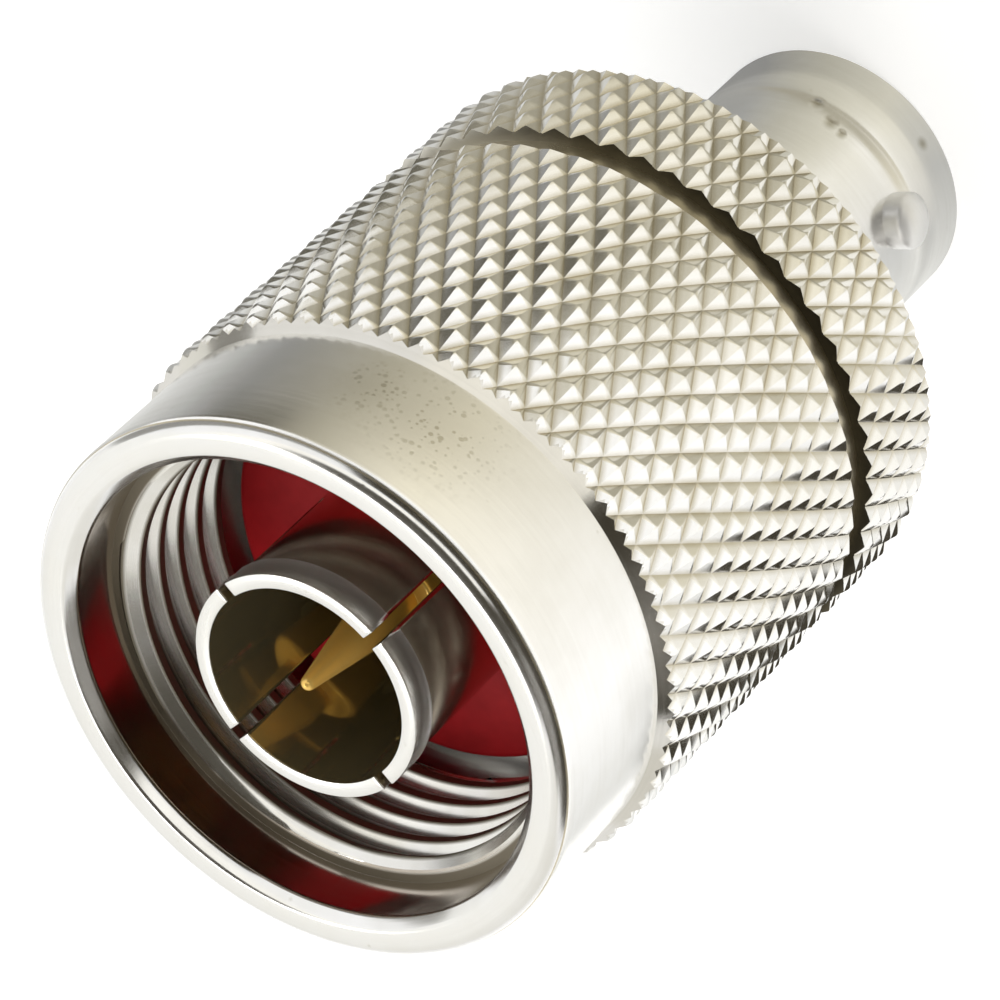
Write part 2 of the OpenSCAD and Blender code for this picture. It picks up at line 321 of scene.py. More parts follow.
def coat_faces(piece, finish, chosen):
    """Gives a finish of their own to the faces whose radius and height are chosen."""
    piece.data.materials.append(finish)
    for face in piece.data.polygons:
        middle = face.center / MM
        if chosen(math.hypot(middle.x, middle.y), middle.z):
            face.material_index = len(piece.data.materials) - 1


class NodeBench:
    """Adds nodes to a tree and joins them."""

    def __init__(self, tree):
        self.tree = tree

    def feed(self, socket, value):
        if isinstance(value, bpy.types.NodeSocket):
            self.tree.links.new(value, socket)
        elif value is not None:
            socket.default_value = value

    def fill(self, node, inputs):
        for key, value in inputs.items():
            self.feed(node.inputs[key], value)

    def add(self, kind, inputs=None, **settings):
        node = self.tree.nodes.new(kind)
        for key, value in settings.items():
            setattr(node, key, value)
        self.fill(node, inputs or {})
        return node

    def math(self, operation, a, b=None, c=None, clamp=False):
        node = self.add("ShaderNodeMath", operation=operation, use_clamp=clamp)
        for socket, value in zip(node.inputs, (a, b, c)):
            self.feed(socket, value)
        return node.outputs[0]

    def times(self, a, b):
        return self.math("MULTIPLY", a, b)

    def plus(self, a, b):
        return self.math("ADD", a, b)

    def minus(self, a, b):
        return self.math("SUBTRACT", a, b)

    def ramp(self, value, low, high, to_low=0.0, to_high=1.0, kind="LINEAR"):
        node = self.add("ShaderNodeMapRange", interpolation_type=kind)
        self.fill(node, {"Value": value, "From Min": low, "From Max": high,
                         "To Min": to_low, "To Max": to_high})
        return node.outputs[0]

    def blend(self, factor, first, second):
        node = self.add("ShaderNodeMix", data_type="RGBA")
        colours = [s for s in node.inputs if s.type == "RGBA"]
        self.feed(node.inputs[0], factor)
        self.feed(colours[0], first)
        self.feed(colours[1], second)
        return [s for s in node.outputs if s.type == "RGBA"][0]

    def choose(self, mask, first, second):
        kept = self.times(first, self.minus(1.0, mask))
        return self.plus(kept, self.times(second, mask))

    def vector(self, operation, first, second=None):
        return self.add("ShaderNodeVectorMath", {0: first, 1: second}, operation=operation).outputs

    def split(self, vector):
        return self.add("ShaderNodeSeparateXYZ", {0: vector}).outputs

    def join(self, x=None, y=None, z=None):
        return self.add("ShaderNodeCombineXYZ", {0: x, 1: y, 2: z}).outputs[0]

    def on_circle(self, radius, angle, height):
        x = self.times(radius, self.math("COSINE", angle))
        y = self.times(radius, self.math("SINE", angle))
        return self.join(x, y, height)

    def own_place(self):
        return self.add("ShaderNodeTexCoord").outputs["Object"]

    def raise_skin(self, skin, height, strength, depth):
        inputs = {"Height": height, "Strength": strength, "Distance": depth * MM}
        self.fill(skin, {"Normal": self.add("ShaderNodeBump", inputs).outputs[0]})

    def shaped(self, mesh, spot):
        return self.add("GeometryNodeSetPosition", {"Geometry": mesh, "Position": spot}).outputs[0]

    def copies(self, points, shape, angle):
        turn = self.add("FunctionNodeAxisAngleToRotation", {"Axis": (0, 0, 1), "Angle": angle})
        return self.add("GeometryNodeInstanceOnPoints", {
            "Points": points.outputs[0], "Instance": shape, "Rotation": turn.outputs[0],
        }).outputs[0]


def geometry_tree(name, counts, sizes, takes_mesh=False):
    """An empty Geometry Nodes tree, its bench and its named inputs."""
    tree = bpy.data.node_groups.new(name, "GeometryNodeTree")
    inputs = [("Geometry", "Geometry")] if takes_mesh else []
    inputs += [(label, "Int") for label in counts]
    inputs += [(label, "Float") for label in sizes]
    for label, kind in inputs + [("Material", "Material")]:
        tree.interface.new_socket(label, in_out="INPUT", socket_type="NodeSocket" + kind)
    tree.interface.new_socket("Geometry", in_out="OUTPUT", socket_type="NodeSocketGeometry")
    bench = NodeBench(tree)
    return tree, bench, bench.add("NodeGroupInput").outputs


def run_tree(piece, tree, values):
    """Runs a tree on a piece with its inputs set by identifier, and keeps the plain mesh."""
    modifier = piece.modifiers.new(tree.name, "NODES")
    modifier.node_group = tree
    for item in tree.interface.items_tree:
        if item.in_out == "INPUT" and item.name in values:
            modifier[item.identifier] = values[item.name]
    return settle(piece)


def close_tree(bench, given, geometry, merge):
    """Ends a tree: real mesh, merged seams and the piece's material."""
    real = bench.add("GeometryNodeRealizeInstances", {"Geometry": geometry})
    merged = bench.add("GeometryNodeMergeByDistance", {"Geometry": real.outputs[0], "Distance": merge})
    done = bench.add("GeometryNodeSetMaterial",
                     {"Geometry": merged.outputs[0], "Material": given["Material"]})
    bench.add("NodeGroupOutput", {0: done.outputs[0]})


def repeat_tree():
    """Repeats a piece's own mesh around the axis."""
    tree, bench, given = geometry_tree("repeat_around_axis", ["Count"], ["Start"], True)
    points = bench.add("GeometryNodePoints", {"Count": given["Count"]})
    index = bench.add("GeometryNodeInputIndex").outputs[0]
    step = bench.math("DIVIDE", 2 * math.pi, given["Count"])
    angle = bench.math("MULTIPLY_ADD", index, step, given["Start"])
    close_tree(bench, given, bench.copies(points, given["Geometry"], angle), SEAM)
    return tree


def knurl_tree():
    """Rolls staggered rows of diamonds around the axis. One diamond is a four-sided point."""
    tree, bench, given = geometry_tree("diamond_knurl", ["Teeth", "Rows"], [
        "First height", "Pitch", "Phase", "Valley radius", "Point height", "Tip level", "Tip softness"])
    cone = bench.add("GeometryNodeMeshCone", {
        "Vertices": 16, "Side Segments": 5, "Radius Top": 0.0, "Radius Bottom": 1.0, "Depth": 1.0,
    }, fill_type="NONE")
    place = bench.split(bench.add("GeometryNodeInputPosition").outputs[0])
    x, y = place[0], place[1]
    wide, tall = bench.math("ABSOLUTE", x), bench.math("ABSOLUTE", y)
    square = bench.plus(bench.times(x, x), bench.times(y, y))
    out = bench.math("POWER", bench.math("SQRT", square), DIAMOND_CURVE)
    lean = bench.math("DIVIDE", tall, bench.plus(wide, tall))
    share = bench.ramp(lean, 0.0, 1.0, kind="SMOOTHERSTEP")
    rest = bench.minus(1.0, share)
    half_tooth = bench.math("DIVIDE", math.pi, given["Teeth"])
    angle = bench.times(bench.times(bench.math("SIGN", x), half_tooth), bench.times(out, rest))
    half_pitch = bench.times(given["Pitch"], 0.5)
    height = bench.times(bench.times(bench.math("SIGN", y), half_pitch), bench.times(out, share))
    point = bench.math("SMOOTH_MIN", bench.minus(1.0, out), given["Tip level"], given["Tip softness"])
    radius = bench.math("MULTIPLY_ADD", point, given["Point height"], given["Valley radius"])
    diamond = bench.shaped(cone.outputs["Mesh"], bench.on_circle(radius, angle, height))
    index = bench.add("GeometryNodeInputIndex").outputs[0]
    row = bench.math("FLOOR", bench.math("DIVIDE", bench.plus(index, 0.5), given["Teeth"]))
    column = bench.minus(index, bench.times(row, given["Teeth"]))
    stagger = bench.times(bench.math("MODULO", row, 2.0), 0.5)
    steps = bench.plus(bench.plus(column, stagger), given["Phase"])
    turn_by = bench.times(steps, bench.times(half_tooth, 2.0))
    level = bench.join(z=bench.math("MULTIPLY_ADD", row, half_pitch, given["First height"]))
    count = bench.times(given["Teeth"], given["Rows"])
    points = bench.add("GeometryNodePoints", {"Count": count, "Position": level})
    close_tree(bench, given, bench.copies(points, diamond, turn_by), KNURL_SEAM)
    return tree


def thread_tree(segments, rows_per_turn, rows):
    """Cuts a helical thread on the inside of a ring. Rows past either end fold onto the end face."""
    tree, bench, given = geometry_tree("internal_thread", [], [
        "Pitch", "Low", "High", "Minor radius", "Major radius", "Wall radius", "Lead"])
    crest_end, root_start, root_end = 4 / 16, 9 / 16, 11 / 16
    row_nudge, row_slack = 0.01, 1.01
    grid = bench.add("GeometryNodeMeshGrid", {
        "Size X": float(segments), "Size Y": float(rows + 1),
        "Vertices X": segments + 1, "Vertices Y": rows + 2,
    })
    place = bench.split(bench.add("GeometryNodeInputPosition").outputs[0])
    column = bench.plus(place[0], segments / 2)
    angle = bench.times(column, 2 * math.pi / segments)
    row = bench.math("ROUND", bench.plus(place[1], (rows + 1) / 2))
    step = bench.math("DIVIDE", given["Pitch"], float(rows_per_turn))
    turn_below = bench.minus(given["Low"], given["Pitch"])
    start = bench.minus(turn_below, bench.times(step, float(LEAD_ROWS)))
    climb = bench.times(given["Pitch"], bench.math("DIVIDE", angle, 2 * math.pi))
    free = bench.plus(bench.math("MULTIPLY_ADD", row, step, start), climb)
    kept = bench.math("MAXIMUM", bench.math("MINIMUM", free, given["High"]), given["Low"])
    rolled = bench.math("DIVIDE", bench.plus(row, row_nudge), float(rows_per_turn))
    part = bench.math("FRACT", rolled)
    rise = bench.ramp(part, crest_end, root_start)
    fall = bench.ramp(part, root_end, 1.0, 1.0, 0.0)
    depth = bench.math("MINIMUM", rise, fall)
    cut = bench.ramp(depth, 0.0, 1.0, given["Minor radius"], given["Major radius"])
    mouth = bench.minus(bench.plus(given["Minor radius"], given["Lead"]), bench.minus(given["High"], kept))
    wall = bench.math("MAXIMUM", cut, mouth)
    slack = bench.times(step, row_slack)
    past = bench.math("MAXIMUM",
                      bench.math("GREATER_THAN", bench.minus(free, given["High"]), slack),
                      bench.math("GREATER_THAN", bench.minus(given["Low"], free), slack))
    closing = bench.math("GREATER_THAN", row, rows + 0.5)
    radius = bench.choose(bench.math("MAXIMUM", past, closing), wall, given["Wall radius"])
    level = bench.choose(closing, kept, given["Low"])
    ring = bench.shaped(grid.outputs["Mesh"], bench.on_circle(radius, angle, level))
    close_tree(bench, given, ring, SEAM)
    return tree


# Finishes. Lines are per millimetre and depths in millimetres
TURNED_LINES = 7.0
TURNED_DEPTH = 0.0016
FINE_LINES = 9.0
PIT_LEAST = 0.05
PIT_SPREAD = 0.18
PIT_WEAR = 0.8
PIT_RELIEF = 2.0
CLOUD_RANGE = (0.35, 0.65)
CLOUD_WEAR = 0.4
GRAIN_WEAR = 0.5
GRAIN_ROUGHNESS = 0.12
SPECK_CHANCE = 0.05
SPECK_REACH = 0.62
SPECK_EDGE = 0.2
SPECK_HAZE = 0.26
STAIN_SHARE = 0.65
DENT_SHARE = 0.75
DENT_DEPTH = 0.03
NICKEL = (0.93, 0.925, 0.91, 1)
NICKEL_DULL = (0.80, 0.785, 0.735, 1)
TARNISH = (0.40, 0.37, 0.28, 1)
# Colours of the painted shade on the thread and in the knurl's valleys
THREAD_PAINTED_SHADE = (0.20, 0.18, 0.14, 1)
KNURL_PAINTED_SHADE = (0.58, 0.53, 0.41, 1)

# Marks on the metal as (radius, height, angle, size)
NECK_DENTS = (
    (4.72, 2.82, 61.8, 0.34), (4.61, 3.25, 52.1, 0.36), (4.585, 3.37, 45.6, 0.26),
    (4.86, 0.9, 19.4, 0.34),
)
LIP_STAINS = (
    (LIP_R, 30.6, 52.0, 3.2), (LIP_R, 30.4, 66.0, 2.0), (LIP_R, 30.2, 205.0, 2.6),
    (LIP_R, 31.6, 300.0, 2.2),
)
# Painted light: the spot where the groove's wall is left lighter, on the side where more light reaches it
GROOVE_WALL_LIT_SPOT = ((9.88, GROOVE_LOW, 110.0, 6.4),)


def surface_group(name, inputs, outputs):
    """An empty shader group, its bench and its named inputs."""
    group = bpy.data.node_groups.new(name, "ShaderNodeTree")
    for label, value in inputs:
        socket = group.interface.new_socket(label, in_out="INPUT", socket_type="NodeSocketFloat")
        socket.default_value = value
    for label in outputs:
        group.interface.new_socket(label, in_out="OUTPUT", socket_type="NodeSocketFloat")
    bench = NodeBench(group)
    return group, bench, bench.add("NodeGroupInput").outputs


def lathe_marks_group():
    """Fine rings left by the lathe, around the axis on walls and faces alike."""
    group, bench, given = surface_group(
        "lathe_marks", [("Lines per mm", 9.0), ("Wander", 1.5)], ["Height", "Radius"])
    part = bench.split(bench.own_place())
    flat = bench.join(part[0], part[1])
    radius = bench.vector("LENGTH", flat)["Value"]
    turn = bench.split(bench.vector("NORMALIZE", flat)[0])
    lines = bench.times(given["Lines per mm"], 1 / MM)
    wander = given["Wander"]
    spot = bench.join(bench.times(radius, lines), bench.times(part[2], lines),
                      bench.times(turn[0], wander))
    noise = bench.add("ShaderNodeTexNoise", {
        "Vector": spot, "W": bench.times(turn[1], wander),
        "Scale": 1.0, "Detail": 2.0, "Roughness": 0.55,
    }, noise_dimensions="4D")
    bench.add("NodeGroupOutput", {"Height": noise.outputs[0], "Radius": radius})
    return group


def plating_group():
    """Slow cloudiness of the plating, and small pits in it."""
    group, bench, given = surface_group(
        "plating", [("Clouds per mm", 0.35), ("Pits per mm", 2.2), ("Pit share", 0.1)], ["Cloud", "Pit"])
    place = bench.own_place()
    cloud = bench.add("ShaderNodeTexNoise", {
        "Vector": place, "Scale": bench.times(given["Clouds per mm"], 1 / MM),
        "Detail": 3.0, "Roughness": 0.6,
    })
    cells = bench.add("ShaderNodeTexVoronoi", {
        "Vector": place, "Scale": bench.times(given["Pits per mm"], 1 / MM),
    })
    chance = bench.add("ShaderNodeSeparateColor", {0: cells.outputs["Color"]})
    chosen = bench.math("LESS_THAN", chance.outputs[0], given["Pit share"])
    size = bench.math("MULTIPLY_ADD", chance.outputs[1], PIT_SPREAD, PIT_LEAST)
    near = bench.math("SUBTRACT", 1.0, bench.math("DIVIDE", cells.outputs["Distance"], size), clamp=True)
    bench.add("NodeGroupOutput", {
        "Cloud": bench.ramp(cloud.outputs[0], *CLOUD_RANGE),
        "Pit": bench.times(chosen, near),
    })
    return group


lathe_marks = lathe_marks_group()
plating = plating_group()


def new_material(name):
    """A material with its bench and its main shader."""
    material = bpy.data.materials.new(name)
    material.use_nodes = True
    tree = material.node_tree
    return material, NodeBench(tree), tree.nodes["Principled BSDF"]


def spot_mask(bench, spots):
    """Soft dots at the places of a piece."""
    place = bench.own_place()
    mask = 0.0
    for r, z, angle, size in spots:
        gap = bench.vector("DISTANCE", place, around(r, z, math.radians(angle)))["Value"]
        dot = bench.ramp(gap, 0.0, size * MM, 1.0, 0.0, "SMOOTHSTEP")
        mask = bench.math("MAXIMUM", mask, dot)
    return mask


def stain_mask(bench, spots):
    """Specks of tarnish over a faint haze, gathered around the places of a piece."""
    cells = bench.add("ShaderNodeTexVoronoi", {"Vector": bench.own_place(), "Scale": 5200.0})
    chance = bench.add("ShaderNodeSeparateColor", {0: cells.outputs["Color"]}).outputs[0]
    reach = bench.ramp(chance, SPECK_CHANCE, 1.0, 0.0, SPECK_REACH)
    inside = bench.minus(cells.outputs["Distance"], reach)
    speck = bench.ramp(inside, -SPECK_EDGE, 0.0, 1.0, 0.0)
    area = spot_mask(bench, spots)
    return bench.times(area, bench.ramp(speck, 0.0, 1.0, SPECK_HAZE, 1.0))


def metal(name, bright, dull, rough, lines=TURNED_LINES, depth=TURNED_DEPTH, pits=0.0,
          dents=(), stains=(), lit_spots=(), metallic=1.0):
    """Plated metal: lathe rings, cloudy plating, a few pits, and dents, stains or spots of painted
    light at given places. Its colour and roughness run from bright to dull plating."""
    material, bench, skin = new_material(name)
    marks = bench.add("ShaderNodeGroup", {"Lines per mm": lines}, node_tree=lathe_marks)
    coat = bench.add("ShaderNodeGroup", {"Pit share": pits}, node_tree=plating)
    cloud, pit = coat.outputs["Cloud"], coat.outputs["Pit"]
    grain = bench.minus(marks.outputs["Height"], 0.5)
    worn = bench.math("MULTIPLY_ADD", pit, PIT_WEAR, bench.times(cloud, CLOUD_WEAR))
    worn = bench.math("MULTIPLY_ADD", grain, GRAIN_WEAR, worn, clamp=True)
    plated = bench.blend(worn, bright, dull)
    relief = bench.minus(marks.outputs["Height"], bench.times(pit, PIT_RELIEF))
    if dents:
        dent = spot_mask(bench, dents)
        plated = bench.blend(bench.times(dent, DENT_SHARE), plated, TARNISH)
        relief = bench.math("MULTIPLY_ADD", dent, -DENT_DEPTH / depth, relief)
    if stains:
        stain = bench.times(stain_mask(bench, stains), STAIN_SHARE)
        plated = bench.blend(stain, plated, TARNISH)
    # Painted light: spots where a painted shade gives way to plain dull nickel
    if lit_spots:
        plated = bench.blend(spot_mask(bench, lit_spots), plated, NICKEL_DULL)
    haze = bench.ramp(cloud, 0.0, 1.0, *rough)
    sheen = bench.math("MULTIPLY_ADD", grain, GRAIN_ROUGHNESS, haze)
    bench.fill(skin, {"Base Color": plated, "Roughness": sheen, "Metallic": metallic})
    bench.raise_skin(skin, relief, 1.0, depth)
    return material


nickel_shell = metal("nickel_shell", NICKEL, NICKEL_DULL, (0.16, 0.22), pits=0.06, stains=LIP_STAINS)
nickel_turned = metal("nickel_turned", NICKEL, NICKEL_DULL, (0.17, 0.24), pits=0.08, dents=NECK_DENTS)
# Painted shade: the groove's floor is plated darker for the shade in its narrow recess
groove_floor_painted_shade = metal("groove_floor_painted_shade", bright=(0.66, 0.60, 0.46, 1), dull=(0.48, 0.43, 0.32, 1),
                      rough=(0.28, 0.36), pits=0.1)
# Painted shade: the groove's walls are plated near black for the shade in the recess, with one painted lit
# spot
groove_wall_painted_shade = metal("groove_wall_painted_shade", bright=(0.13, 0.115, 0.08, 1), dull=(0.08, 0.07, 0.05, 1),
                    rough=(0.36, 0.45), pits=0.1, lit_spots=GROOVE_WALL_LIT_SPOT)
slope_metal = metal("slope_metal", bright=(0.76, 0.74, 0.69, 1), dull=(0.62, 0.60, 0.54, 1),
                    rough=(0.1, 0.14), depth=0.0004)
lug_metal = metal("lug_metal", NICKEL, NICKEL_DULL, (0.36, 0.42), pits=0.05, metallic=0.6)
nickel_sleeve = metal("nickel_sleeve", NICKEL, NICKEL_DULL, (0.2, 0.26),
                      lines=FINE_LINES, depth=0.0008, pits=0.05)
# Painted shade: the sleeve's shank inside the nut is plated dark brown for the shade it stands in
sleeve_shank_painted_shade = metal("sleeve_shank_painted_shade", bright=(0.56, 0.50, 0.39, 1), dull=(0.44, 0.39, 0.30, 1),
                     rough=(0.14, 0.2), lines=FINE_LINES, depth=0.0004)
# Painted shade: the sleeve's bore is plated dark olive for the shade inside it
sleeve_bore_painted_shade = metal("sleeve_bore_painted_shade", bright=(0.44, 0.38, 0.225, 1), dull=(0.39, 0.335, 0.19, 1),
                    rough=(0.07, 0.1), lines=FINE_LINES, depth=0.0002, metallic=0.88)
# Painted shade: the counterbore inside the mouth is plated darker and warmer
counterbore_painted_shade = metal("counterbore_painted_shade", bright=(0.62, 0.56, 0.50, 1), dull=(0.50, 0.45, 0.39, 1),
                         rough=(0.12, 0.18), lines=FINE_LINES, depth=0.0006, pits=0.02)
gold_plate = metal("gold_plate", bright=(0.98, 0.64, 0.17, 1), dull=(0.90, 0.55, 0.13, 1),
                   rough=(0.18, 0.22), lines=FINE_LINES, depth=0.0004, metallic=0.55)
spring_steel = metal("spring_steel", bright=(0.56, 0.55, 0.52, 1), dull=(0.45, 0.44, 0.41, 1),
                     rough=(0.25, 0.35), lines=6.0, depth=0.001, pits=0.1)


def lay_painted_shade(bench, skin, painted_shade, clean, colour, rough):
    """Clean metal that goes over into painted shade, in colour and in roughness."""
    bench.fill(skin, {
        "Base Color": bench.blend(painted_shade, clean, colour),
        "Roughness": bench.ramp(painted_shade, 0.0, 1.0, *rough),
        "Metallic": 1.0,
    })


def thread_metal():
    """Plating that is bright on the thread's flanks, with painted shade on its crests and in its roots."""
    crest_from, crest_to = (THREAD_MINOR_R + 0.02) * MM, (THREAD_MINOR_R + 0.1) * MM
    root_from, root_to = (THREAD_MAJOR_R - 0.16) * MM, (THREAD_MAJOR_R - 0.04) * MM
    material, bench, skin = new_material("nickel_thread")
    marks = bench.add("ShaderNodeGroup", node_tree=lathe_marks)
    coat = bench.add("ShaderNodeGroup", node_tree=plating)
    crest = bench.ramp(marks.outputs["Radius"], crest_from, crest_to, 1.0, 0.0)
    root = bench.ramp(marks.outputs["Radius"], root_from, root_to)
    # Painted shade on the thread's crests and in its roots
    painted_shade = bench.math("MAXIMUM", crest, root)
    flank = bench.blend(coat.outputs["Cloud"], NICKEL, NICKEL_DULL)
    lay_painted_shade(bench, skin, painted_shade, flank, THREAD_PAINTED_SHADE, rough=(0.2, 0.5))
    bench.raise_skin(skin, marks.outputs["Height"], strength=1.0, depth=0.001)
    return material


def knurl_metal():
    """The same plating on the knurl, with painted shade that makes it a little darker and duller in the
    valleys.
    """
    valley_from, valley_to = (VALLEY_R - 0.02) * MM, (VALLEY_R + 0.12) * MM
    least_painted_shade = 0.55
    material, bench, skin = new_material("nickel_knurled")
    marks = bench.add("ShaderNodeGroup", node_tree=lathe_marks)
    cloud = bench.add("ShaderNodeGroup", node_tree=plating).outputs["Cloud"]
    valley = bench.ramp(marks.outputs["Radius"], valley_from, valley_to, 1.0, 0.0, "SMOOTHSTEP")
    # Painted shade in the knurl's valleys, varied by the plating's cloud
    painted_shade = bench.times(valley, bench.ramp(cloud, 0.0, 1.0, least_painted_shade, 1.0))
    clean = bench.blend(bench.times(cloud, CLOUD_WEAR), NICKEL, NICKEL_DULL)
    lay_painted_shade(bench, skin, painted_shade, clean, KNURL_PAINTED_SHADE, rough=(0.12, 0.24))
    bench.raise_skin(skin, cloud, strength=0.5, depth=0.006)
    return material


def moulded(name, colour, shade, rough, specks, gloss):
    """Rubber or plastic with a faint cloud of colour and a fine skin."""
    speck_relief = 1.5
    material, bench, skin = new_material(name)
    coat = bench.add("ShaderNodeGroup", {"Clouds per mm": 0.6, "Pits per mm": 1.2, "Pit share": specks},
                     node_tree=plating)
    bench.fill(skin, {
        "Base Color": bench.blend(coat.outputs["Cloud"], colour, shade),
        "Roughness": bench.ramp(coat.outputs["Cloud"], 0.0, 1.0, *rough),
        "Specular IOR Level": gloss,
    })
    fine = bench.add("ShaderNodeTexNoise", {"Vector": bench.own_place(), "Scale": 14000.0, "Detail": 2.0})
    pits = bench.times(coat.outputs["Pit"], speck_relief)
    bench.raise_skin(skin, bench.plus(fine.outputs[0], pits), strength=0.6, depth=0.006)
    return material


nickel_thread = thread_metal()
nickel_knurled = knurl_metal()
red_silicone = moulded("red_silicone", colour=(0.56, 0.014, 0.02, 1), shade=(0.46, 0.012, 0.016, 1),
                       rough=(0.5, 0.62), specks=0.12, gloss=0.25)
white_ptfe = moulded("white_ptfe", colour=(0.88, 0.87, 0.83, 1), shade=(0.82, 0.81, 0.76, 1),
                     rough=(0.45, 0.57), specks=0.05, gloss=0.4)

repeat_around = repeat_tree()


# The coupling nut: shell, thread and knurl
def build_nut():
    land_high = NUT_REAR + REAR_LAND_LENGTH + LAND_OVERLAP
    lip_foot = LIP_LOW - LIP_OVERLAP
    pocket_high = THREAD_HIGH - THREAD_OVERLAP
    pocket_low = THREAD_LOW + THREAD_OVERLAP
    groove_margin, bore_margin = 0.02, 0.03
    shell = [
        (NUT_BORE_R, NUT_REAR, 0.2),
        (REAR_LAND_R, NUT_REAR, 0.14),
        (REAR_LAND_R, land_high),
        (GROOVE_R, land_high),
        (GROOVE_R, lip_foot),
        (LIP_R, lip_foot),
    ]
    shell += hollow_arc(LIP_R - RIM_RADIUS, TOTAL_HEIGHT - RIM_RADIUS, RIM_RADIUS, 0, 90, steps=12)
    shell += [
        (COUNTERBORE_R + MOUTH_CHAMFER, TOTAL_HEIGHT, 0.1),
        (COUNTERBORE_R, TOTAL_HEIGHT - MOUTH_CHAMFER, 0.1),
        (COUNTERBORE_R, pocket_high, 0.03),
        (THREAD_ROOT_WALL, pocket_high),
        (THREAD_ROOT_WALL, pocket_low),
        (RELIEF_R, pocket_low),
        (RELIEF_R, RELIEF_LOW, 0.1),
        (NUT_BORE_R, RELIEF_LOW, 0.1),
        (NUT_BORE_R, RING_GROOVE_HIGH, 0.03),
        (RING_GROOVE_R, RING_GROOVE_HIGH, 0.03),
        (RING_GROOVE_R, RING_GROOVE_LOW, 0.03),
        (NUT_BORE_R, RING_GROOVE_LOW, 0.03),
    ]
    piece = turned_piece("nut_shell", shell, FINE_TURN, nickel_shell,
                         "coupling", "coupling_nut")
    # Painted shade: darker plating on the groove's floor
    coat_faces(piece, groove_floor_painted_shade, lambda r, z: abs(r - GROOVE_R) < groove_margin)
    # Painted shade on the counterbore inside the mouth
    coat_faces(piece, counterbore_painted_shade,
               lambda r, z: abs(r - COUNTERBORE_R) < bore_margin and z > THREAD_HIGH)

    turns = (THREAD_HIGH - THREAD_LOW + THREAD_PITCH) / THREAD_PITCH
    rows = int(turns * THREAD_ROWS) + 2 * LEAD_ROWS
    thread = run_tree(to_mesh("nut_thread", bmesh.new()), thread_tree(THREAD_TURN, THREAD_ROWS, rows), {
        "Pitch": THREAD_PITCH * MM, "Low": THREAD_LOW * MM, "High": THREAD_HIGH * MM,
        "Minor radius": THREAD_MINOR_R * MM, "Major radius": THREAD_MAJOR_R * MM,
        "Wall radius": THREAD_BACK_R * MM, "Lead": THREAD_LEAD * MM, "Material": nickel_thread,
    })
    right_side_out(thread)
    finish_piece(thread, nickel_thread, "coupling", "coupling_nut", THREAD_SHARP)
    build_knurl()


def build_knurl():
    """Rolls the knurl on a long blank, then turns the groove and the sloping ends through it."""
    blank = run_tree(to_mesh("nut_knurl", bmesh.new()), knurl_tree(), {
        "Teeth": KNURL_TEETH, "Rows": KNURL_ROWS, "First height": KNURL_FIRST * MM,
        "Pitch": KNURL_PITCH * MM, "Phase": KNURL_PHASE, "Valley radius": VALLEY_R * MM,
        "Point height": (POINT_R - VALLEY_R) * MM, "Tip level": KNURL_TIP_LEVEL,
        "Tip softness": KNURL_TIP_SOFTNESS, "Material": nickel_knurled,
    })
    bm = bmesh.new()
    bm.from_mesh(blank.data)
    bmesh.ops.remove_doubles(bm, verts=bm.verts, dist=KNURL_SEAM)
    rim = [e for e in bm.edges if e.is_boundary]
    middle = (NUT_REAR + LIP_LOW) / 2 * MM
    low = (KNURL_FIRST - BLANK_TAIL) * MM
    high = (KNURL_FIRST + KNURL_ROWS * KNURL_PITCH / 2 + BLANK_HEAD) * MM
    grown = bmesh.ops.extrude_edge_only(bm, edges=rim)["geom"]
    for v in [g for g in grown if isinstance(g, bmesh.types.BMVert)]:
        inward = Vector((v.co.x, v.co.y, 0)).normalized() * (KNURL_INNER_R - CUT_OVERLAP) * MM
        v.co = Vector((inward.x, inward.y, low if v.co.z < middle else high))
    open_edges = [e for e in bm.edges if e.is_boundary]
    bmesh.ops.bridge_loops(bm, edges=open_edges)
    bmesh.ops.recalc_face_normals(bm, faces=bm.faces)
    bm.to_mesh(blank.data)
    bm.free()

    over = POINT_R + CUT_OVERLAP
    rear_low = NUT_REAR + REAR_LAND_LENGTH
    rear_slope = REAR_CHAMFER * (over - REAR_LAND_R) / (POINT_R - REAR_LAND_R)
    lip_slope = KNURL_CHAMFER * (over - LIP_R) / (POINT_R - LIP_R)
    groove_slope = over - VALLEY_R
    rear_band = [
        (KNURL_INNER_R, rear_low), (REAR_LAND_R, rear_low), (over, rear_low + rear_slope),
        (over, GROOVE_LOW), (KNURL_INNER_R, GROOVE_LOW),
    ]
    front_band = [
        (KNURL_INNER_R, GROOVE_HIGH), (VALLEY_R, GROOVE_HIGH),
        (over, GROOVE_HIGH + groove_slope), (over, LIP_LOW - lip_slope), (LIP_R, LIP_LOW),
        (KNURL_INNER_R, LIP_LOW),
    ]
    cutter = to_mesh("knurl_cutter", turned_shape(rear_band, FINE_TURN))
    second = turned_shape(front_band, FINE_TURN)
    second.from_mesh(cutter.data)
    second.to_mesh(cutter.data)
    second.free()
    cut = blank.modifiers.new("turned", "BOOLEAN")
    cut.operation = "INTERSECT"
    cut.solver = "MANIFOLD"
    cut.object = cutter
    settle(blank)
    bpy.data.objects.remove(cutter)
    right_side_out(blank)
    finish_piece(blank, nickel_knurled, "coupling", "coupling_nut", KNURL_SHARP)
    margin, slope_fall, slope_margin = 0.01, 0.6, 0.12

    def on_slope(r, z):
        return LIP_LOW - slope_fall * (r - LIP_R) - slope_margin < z < LIP_LOW

    # Painted shade on the groove's walls
    coat_faces(blank, groove_wall_painted_shade, lambda r, z: GROOVE_LOW - margin < z < GROOVE_HIGH + margin)
    coat_faces(blank, slope_metal, on_slope)
    bm = bmesh.new()
    bm.from_mesh(blank.data)
    for edge in bm.edges:
        steep = [abs(face.normal.z) > STEEP_NORMAL for face in edge.link_faces]
        if any(steep) and (not all(steep) or edge.calc_face_angle(0) > STEEP_CREASE):
            edge.smooth = False
    bm.to_mesh(blank.data)
    bm.free()


